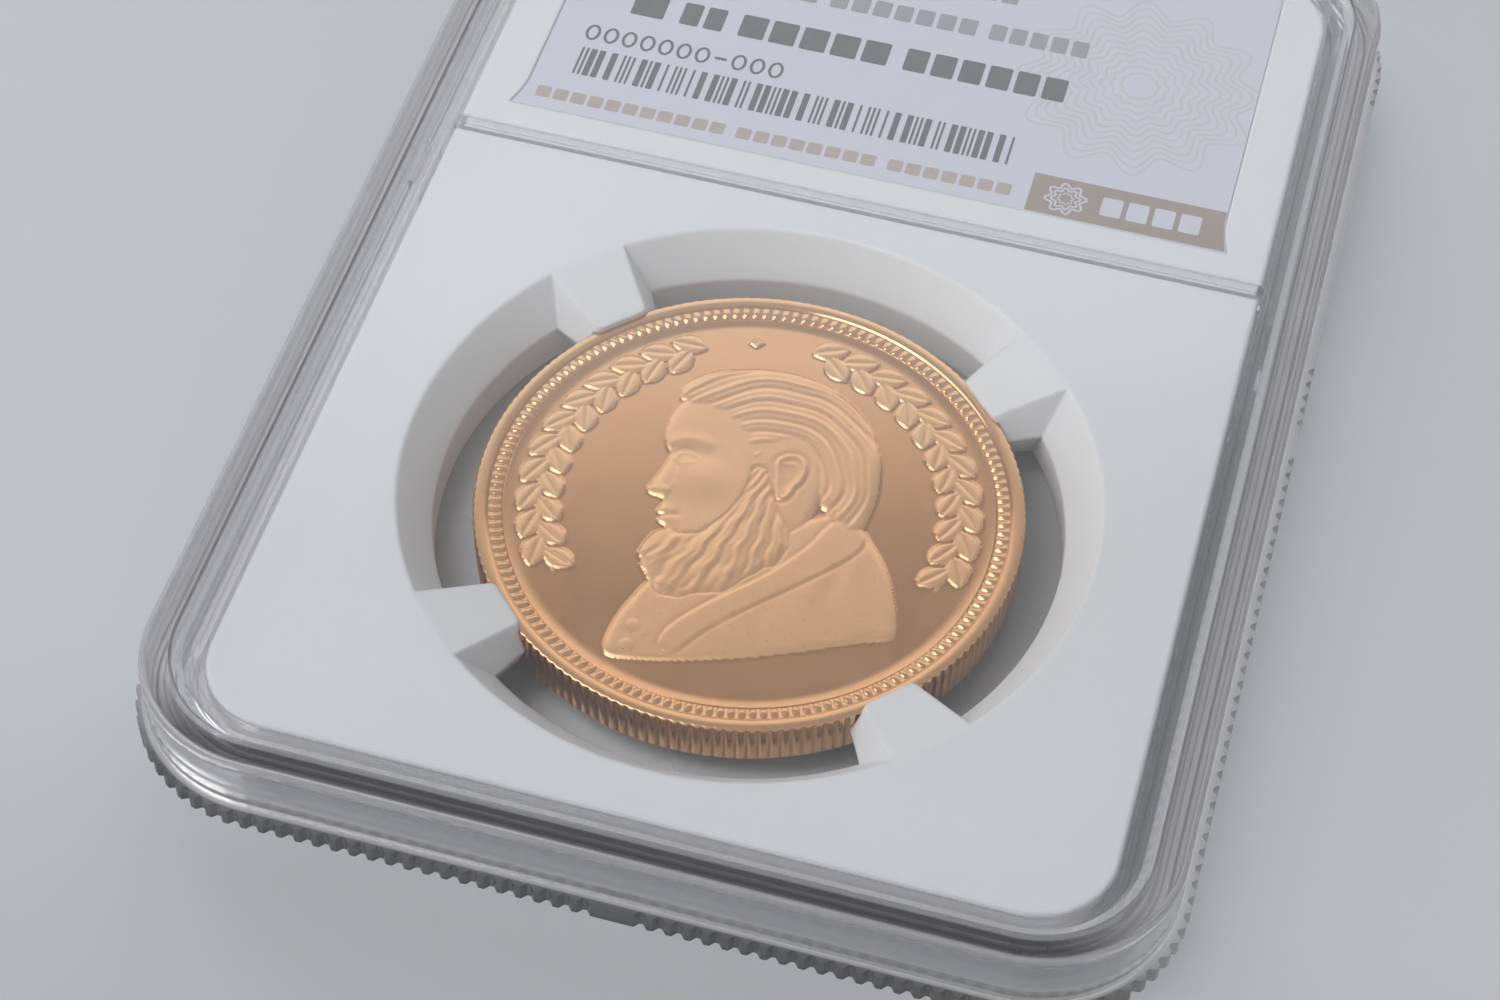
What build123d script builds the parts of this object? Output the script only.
"""Sealed holder for one graded coin, as a kit of separate pieces.

Frame, in millimetres: the origin is under the middle of the holder, on the plane that its back rim
rests on. +X runs to the right across the front, +Y towards the label end, and +Z out of the front.
"""

from build123d import *
import os
from math import cos, pi, sin

# Whole holder
WIDTH = 61.0  # X, over the seam flange
LENGTH = 85.0  # Y, over the seam flange
THICKNESS = 9.1  # Z, over the two stacking rims
CORNER_R = 9.0  # plan radius of the flange

# Clear shells
FLANGE_REACH = 0.6  # how far the flange stands out of the walls
FLANGE_HALF = 0.6  # half of its height, about the middle plane
RIM_HEIGHT = 0.5  # stacking rims, proud of the windows
WINDOW = 1.1  # window thickness
WALL = 1.65  # outer wall of both shells
FRONT_RIM = (1.75, 2.45)  # insets of the rim's inner edge, at its top and at the window
BACK_RIM = (3.25, 3.7)
EDGE_R = 0.5  # outer edge of each rim
RIM_INNER_R = 0.2
BACK_INSET = 2.2  # the back steps in by this, to stand inside the front rim of the next holder
STEP_LEVEL = 3.2  # Z of that step
STEP_R = 0.4
CHANNEL_FLOOR = 4.05  # Z of the gap's floor between the back shell's wall and its skirt
SKIRT_OUT, SKIRT_IN = 2.75, 3.52  # insets of the inner skirt that locates the inserts
SKIRT_GAP = 0.1  # between the two skirts at the middle plane
SEAM_GAP = 0.05  # left between the walls when the weld ridge has bottomed
RIDGE_OUT, RIDGE_IN = 0.6, 1.2  # insets of the weld ridge's two sides
RIDGE_DEPTH = 1.0
GROOVE_CLEAR = 0.1  # beside the ridge
KEY_LENGTH, KEY_WIDTH = 3.4, 0.4  # short keys that stiffen the skirt beside the divider
KEY_FROM_DIVIDER = 5.6

# Teeth round the flange
TOOTH_PITCH = 1.07
TOOTH_DEPTH = 0.3
TOOTH_CREST, TOOTH_ROOT = 0.3, 0.2  # shares of the pitch that are flat
TOOTH_LOW_END = 7.0  # Y where the coin end's teeth stop
TOOTH_HIGH_END = 31.0  # Y where the label end's teeth start
TOOTH_BREAK = (-0.8, 1.8)  # a plain stretch in each long side's teeth, in Y
GATE_WIDTH = 2.6  # plain pad at the moulding gate, in the middle of the coin end

# White inserts
INSERT_INSET = 3.65  # from the outer wall
INSERT_CLEAR = 0.05  # under each window
INSERT_EDGE_R = 0.25
CORE_END = 9.1  # Y of the core's straight end
FRAME_END = 10.25  # Y of the label frame's straight end
DIVIDER_FROM, DIVIDER_TO = 9.22, 10.13  # the shells' cross ribs, in Y
DIVIDER_DEPTH = 1.3  # how far each cross rib reaches in from its window
TONGUE_CLEAR = 0.1  # between each cross rib and the frame's tongue below it
COIN_Y = -14.2
MOUTH_R, THROAT_R = 20.8, 18.8  # the core's opening at the front and at its land
MOUTH_DEPTH, LAND_LENGTH = 2.6, 2.4
OPENING_EDGE_R = 0.25

# Prongs that hold the coin
PRONG_ANGLES = (45, 135, 225, 315)
PRONG_TIP_R = 16.0
PRONG_ROOT_R = 22.0
PRONG_NARROW = (1.0, 2.95)  # half widths at tip and root, at the core's faces
PRONG_WIDE = (2.5, 4.45)  # the same at the land, where the mould parts
PRONG_LIP = 0.4  # thickness over the coin's rim
PRONG_TIP_ROUND = 0.45
COIN_CLEAR = 0.02
NEAR = 0.1  # how close an edge must lie to a dimension to be picked by it

# Label
LABEL_HALF_X = 23.1
LABEL_FROM, LABEL_TO = 12.3, 36.2  # Y
LABEL_FLARE = 0.55  # each lower corner spreads by this much
LABEL_FLARE_RISE = 2.3
LABEL_POCKET = 0.3
LABEL_PAPER = 0.22
LABEL_CLEAR = 0.05  # round the paper, in its pocket
LABEL_BEHIND = 0.06  # how far the printed face lies below the frame's face
FOIL = 0.03
FOIL_SIZE = (15.0, 12.0)
FOIL_AT = (-11.0, 24.3)

# Coin
COIN_R = 16.385
COIN_THICKNESS = 2.84
COIN_RIM = 0.9
COIN_BEADS_TO = 1.65  # inner edge of the bead ring, in from the edge
BEAD_LEDGE_DEPTH, FIELD_DEPTH = 0.12, 0.26
REEDS = 160
REED_DEPTH = 0.12
REED_CREST, REED_FALL, REED_ROOT = 0.45, 0.15, 0.25  # shares of a reed's pitch

MIDDLE = THICKNESS / 2
WALL_X, WALL_Y = WIDTH / 2 - FLANGE_REACH, LENGTH / 2 - FLANGE_REACH
WALL_R = CORNER_R - FLANGE_REACH
BACK_IN = RIM_HEIGHT + WINDOW  # inner face of the back window
FRONT_IN = THICKNESS - BACK_IN
SEAM = MIDDLE + FLANGE_HALF
INSERT_BACK, INSERT_FRONT = BACK_IN + INSERT_CLEAR, FRONT_IN - INSERT_CLEAR
INSERT_X, INSERT_Y = WALL_X - INSERT_INSET, WALL_Y - INSERT_INSET
LAND_TOP = INSERT_FRONT - MOUTH_DEPTH
LAND_FOOT = LAND_TOP - LAND_LENGTH
COIN_FRONT = MIDDLE + COIN_THICKNESS / 2
COIN_BACK = MIDDLE - COIN_THICKNESS / 2


def outline(inset):
    """The holder's rounded outline, moved in from the outer wall."""
    return RectangleRounded(2 * (WALL_X - inset), 2 * (WALL_Y - inset), WALL_R - inset)


def plate(inset, low, high):
    return Pos(0, 0, low) * extrude(outline(inset), high - low)


def ring(outer, inner, low, high):
    return plate(outer, low, high) - plate(inner, low, high)


def block(x0, x1, y0, y1, z0, z1):
    return Pos((x0 + x1) / 2, (y0 + y1) / 2, (z0 + z1) / 2) * Box(x1 - x0, y1 - y0, z1 - z0)


def cross_rib(low):
    """The clear bar that shows between the core and the label frame."""
    x = WALL_X - SKIRT_IN
    return block(-x, x, DIVIDER_FROM, DIVIDER_TO, low, low + DIVIDER_DEPTH)


def keys(low, high):
    """One short key each side, in the gap behind the skirt and just below the divider."""
    y0 = DIVIDER_FROM - KEY_FROM_DIVIDER
    x1 = WALL_X - SKIRT_OUT + KEY_WIDTH
    right = block(x1 - 2 * KEY_WIDTH, x1, y0, y0 + KEY_LENGTH, low, high)
    return right + mirror(right, about=Plane.YZ)


def rimmed_plate(inset, rim, low):
    """A plate from low up to the holder's top, with a stacking rim round its window."""
    crest_inset, foot_inset = rim
    body = plate(inset, low, THICKNESS)
    body = fillet(body.edges().group_by(Axis.Z)[-1], EDGE_R)
    foot = Pos(0, 0, THICKNESS - RIM_HEIGHT) * outline(foot_inset)
    crest = Pos(0, 0, THICKNESS) * outline(crest_inset)
    body -= loft([foot, crest], ruled=True)
    top = body.faces().sort_by(Axis.Z)[-1]
    return fillet(top.inner_wires()[0].edges(), RIM_INNER_R)


def corner(x, y, start):
    """A quarter bend of the flange's outline about (x, y): a point and outward direction at s."""

    def at(s):
        turn = start + s / CORNER_R
        direction = (cos(turn), sin(turn))
        return (x + CORNER_R * direction[0], y + CORNER_R * direction[1]), direction

    return at


def side(x, y, along):
    """A straight run of the flange's outline from (x, y): a point and outward direction at s."""
    dx, dy = along

    def at(s):
        return (x + s * dx, y + s * dy), (dy, -dx)

    return at


def walk():
    """A function from distance along the flange's outline to a point and outward direction.

    The walk starts in the middle of the coin end and goes anticlockwise, seen from the front.
    """
    half_x, half_y = WIDTH / 2, LENGTH / 2
    x, y, bend = half_x - CORNER_R, half_y - CORNER_R, pi * CORNER_R / 2
    legs = [(x, side(0, -half_y, (1, 0))), (bend, corner(x, -y, -pi / 2))]
    legs += [(2 * y, side(half_x, -y, (0, 1))), (bend, corner(x, y, 0))]
    legs += [(2 * x, side(x, half_y, (-1, 0))), (bend, corner(-x, y, pi / 2))]
    legs += [(2 * y, side(-half_x, y, (0, -1))), (bend, corner(-x, -y, pi))]
    legs += [(x, side(-x, -half_y, (1, 0)))]
    total = sum(span for span, _ in legs)

    def at(s):
        s %= total
        for span, place in legs[:-1]:
            if s <= span:
                return place(s)
            s -= span
        return legs[-1][1](s)

    return at, total


def toothed(point):
    """Whether the flange has teeth at this point of its outline."""
    x, y = point
    if TOOTH_LOW_END < y < TOOTH_HIGH_END or TOOTH_BREAK[0] < y < TOOTH_BREAK[1]:
        return False
    return y > 0 or abs(x) > GATE_WIDTH / 2


def flange_outline():
    at, total = walk()
    count = round(total / TOOTH_PITCH)
    pitch = total / count
    rise = (1 - TOOTH_CREST - TOOTH_ROOT) / 2
    steps = ((0, 0), (TOOTH_CREST, 0), (TOOTH_CREST + rise, TOOTH_DEPTH), (1 - rise, TOOTH_DEPTH))
    has_tooth = [toothed(at((tooth + 0.5) * pitch)[0]) for tooth in range(count)]
    points = []
    for tooth in range(count):
        if not has_tooth[tooth]:
            continue
        for share, depth in steps:
            (x, y), (nx, ny) = at((tooth + share) * pitch)
            points.append((x - nx * depth, y - ny * depth))
        if not has_tooth[(tooth + 1) % count]:
            points.append(at((tooth + 1) * pitch)[0])
    return make_face(Polyline(*points, close=True))


def front_shell():
    shell = rimmed_plate(0, FRONT_RIM, SEAM + SEAM_GAP)
    inside = ring(WALL, SKIRT_OUT, SEAM + SEAM_GAP, FRONT_IN)
    shell -= inside + plate(SKIRT_IN, SEAM + SEAM_GAP, FRONT_IN)
    shell += ring(SKIRT_OUT, SKIRT_IN, MIDDLE + SKIRT_GAP / 2, FRONT_IN)
    shell += ring(RIDGE_OUT, RIDGE_IN, SEAM + SEAM_GAP - RIDGE_DEPTH, SEAM + SEAM_GAP)
    shell += cross_rib(FRONT_IN - DIVIDER_DEPTH)
    return shell + keys(SEAM, FRONT_IN)


def back_shell():
    """A rimmed back that steps out to the seam, with the toothed flange and the weld groove."""
    back = rimmed_plate(BACK_INSET, BACK_RIM, THICKNESS - SEAM)
    shell = mirror(back, about=Plane.XY.offset(MIDDLE)) + plate(0, STEP_LEVEL, SEAM)
    flange_low = SEAM - 2 * FLANGE_HALF
    shell += Pos(0, 0, flange_low) * extrude(flange_outline(), 2 * FLANGE_HALF)
    at_step = shell.edges().filter_by(lambda e: abs(e.center().Z - STEP_LEVEL) < NEAR)
    inner = at_step.filter_by(lambda e: e.bounding_box().max.X < WALL_X - BACK_INSET + NEAR)
    shell = fillet(inner, STEP_R)
    shell -= plate(SKIRT_IN, BACK_IN, SEAM) + ring(WALL, SKIRT_OUT, CHANNEL_FLOOR, SEAM)
    shell -= ring(SKIRT_OUT, SKIRT_IN, MIDDLE - SKIRT_GAP / 2, SEAM)
    floor = SEAM + SEAM_GAP - RIDGE_DEPTH
    shell -= ring(RIDGE_OUT - GROOVE_CLEAR, RIDGE_IN + GROOVE_CLEAR, floor, SEAM)
    return shell + cross_rib(BACK_IN)


def insert_blank(y_from, y_to):
    """A white block as deep as both inserts, with the holder's round corners beyond its ends."""
    blank = plate(INSERT_INSET, INSERT_BACK, INSERT_FRONT)
    blank &= block(-INSERT_X, INSERT_X, y_from, y_to, INSERT_BACK, INSERT_FRONT)
    levels = blank.edges().group_by(Axis.Z)
    return fillet(levels[0] + levels[-1], INSERT_EDGE_R)


def opening():
    """The core's opening: a cone from the front, a straight land and a short back cone."""
    slope = (MOUTH_R - THROAT_R) / MOUTH_DEPTH
    back_r = THROAT_R + (LAND_FOOT - INSERT_BACK) * slope
    profile = Polyline(
        (0, INSERT_BACK),
        (back_r, INSERT_BACK),
        (THROAT_R, LAND_FOOT),
        (THROAT_R, LAND_TOP),
        (MOUTH_R, INSERT_FRONT),
        (0, INSERT_FRONT),
        close=True,
    )
    return Pos(0, COIN_Y, 0) * revolve(make_face(Plane.XZ * profile), Axis.Z)


def wedge_section(halves, z):
    tip, root = halves
    points = [(PRONG_TIP_R, -tip), (PRONG_ROOT_R, -root), (PRONG_ROOT_R, root), (PRONG_TIP_R, tip)]
    return Pos(0, 0, z) * make_face(Polyline(*points, close=True))


def prong():
    """One prong along +X: drafted both ways from the land, with faces that fall to its tip."""
    wide = wedge_section(PRONG_WIDE, LAND_TOP)
    body = loft([wide, wedge_section(PRONG_NARROW, INSERT_FRONT)], ruled=True)
    body += loft([wedge_section(PRONG_NARROW, INSERT_BACK), wide], ruled=True)
    tip_edges = body.edges().filter_by(lambda e: abs(e.center().X - PRONG_TIP_R) < NEAR)
    uprights = tip_edges.filter_by(Plane.YZ).filter_by(lambda e: abs(e.center().Y) > NEAR)
    body = fillet(uprights, PRONG_TIP_ROUND)
    for sign, face, coin_face in ((1, INSERT_FRONT, COIN_FRONT), (-1, INSERT_BACK, COIN_BACK)):
        lip = coin_face + sign * PRONG_LIP
        far = face + sign
        above = [(PRONG_TIP_R - 1, far), (PRONG_TIP_R - 1, lip), (PRONG_TIP_R, lip)]
        above += [(MOUTH_R, face), (PRONG_ROOT_R + 1, face), (PRONG_ROOT_R + 1, far)]
        cutter = make_face(Plane.XZ * Polyline(*above, close=True))
        body -= extrude(cutter, PRONG_ROOT_R, both=True)
    return body


def coin_core():
    core = insert_blank(-INSERT_Y, CORE_END) - opening()
    rounds = core.edges().filter_by(GeomType.CIRCLE)
    mouth = rounds.filter_by(lambda e: e.radius > MOUTH_R - NEAR)
    land = rounds.filter_by(lambda e: abs(e.radius - THROAT_R) < NEAR)
    core = fillet(mouth + land, OPENING_EDGE_R)
    for angle in PRONG_ANGLES:
        core += Pos(0, COIN_Y, 0) * Rot(0, 0, angle) * prong()
    pocket = Cylinder(COIN_R + COIN_CLEAR, COIN_THICKNESS + 2 * COIN_CLEAR)
    return core - Pos(0, COIN_Y, MIDDLE) * pocket


def label_outline(shrink):
    """The label's shape: a rectangle whose two lower corners flare out a little."""
    x = LABEL_HALF_X - shrink
    y0, y1 = LABEL_FROM + shrink, LABEL_TO - shrink
    right = [(x + LABEL_FLARE, y0), (x + LABEL_FLARE / 3, y0 + LABEL_FLARE_RISE / 2)]
    right += [(x, y0 + LABEL_FLARE_RISE), (x, y1)]
    left = [(-px, py) for px, py in reversed(right)]
    return make_face(Polyline(*right, *left, close=True))


def label_frame():
    """The block that carries both labels, with a tongue that fills in behind the cross ribs."""
    frame = insert_blank(FRAME_END, INSERT_Y)
    behind = DIVIDER_DEPTH + TONGUE_CLEAR
    tongue_from = CORE_END + INSERT_CLEAR
    x = INSERT_X - INSERT_EDGE_R
    frame += block(-x, x, tongue_from, FRAME_END + 1, BACK_IN + behind, FRONT_IN - behind)
    for low in (INSERT_FRONT - LABEL_POCKET, INSERT_BACK):
        frame -= Pos(0, 0, low) * extrude(label_outline(0), LABEL_POCKET)
    return frame


def label(low):
    return Pos(0, 0, low) * extrude(label_outline(LABEL_CLEAR), LABEL_PAPER)


def foil_seal():
    return Pos(*FOIL_AT, INSERT_BACK + LABEL_BEHIND - FOIL / 2) * Box(*FOIL_SIZE, FOIL)


def coin():
    """The coin as struck blank: reeded edge, rims, and a ledge and a field sunk in each face."""
    step = 2 * pi / REEDS
    fall = REED_CREST + REED_FALL
    shape = ((0, 0), (REED_CREST, 0), (fall, REED_DEPTH), (fall + REED_ROOT, REED_DEPTH))
    edge = []
    for reed in range(REEDS):
        for share, depth in shape:
            a, r = (reed + share) * step, COIN_R - depth
            edge.append((r * cos(a), r * sin(a)))
    blank = extrude(make_face(Polyline(*edge, close=True)), COIN_THICKNESS / 2, both=True)
    for radius, depth in ((COIN_R - COIN_RIM, BEAD_LEDGE_DEPTH), (COIN_R - COIN_BEADS_TO, FIELD_DEPTH)):
        for side in (1, -1):
            blank -= Pos(0, 0, side * COIN_THICKNESS / 2) * Cylinder(radius, 2 * depth)
    return Pos(0, COIN_Y, MIDDLE) * blank


NODES = {
    "front_shell": front_shell(),
    "back_shell": back_shell(),
    "coin_core": coin_core(),
    "label_frame": label_frame(),
    "front_label": label(INSERT_FRONT - LABEL_BEHIND - LABEL_PAPER),
    "back_label": label(INSERT_BACK + LABEL_BEHIND),
    "foil_seal": foil_seal(),
    "coin": coin(),
}

os.makedirs("parts", exist_ok=True)
for name, shape in NODES.items():
    export_step(shape, f"parts/{name}.step")
    print(name, round(shape.volume, 1), shape.bounding_box().size)
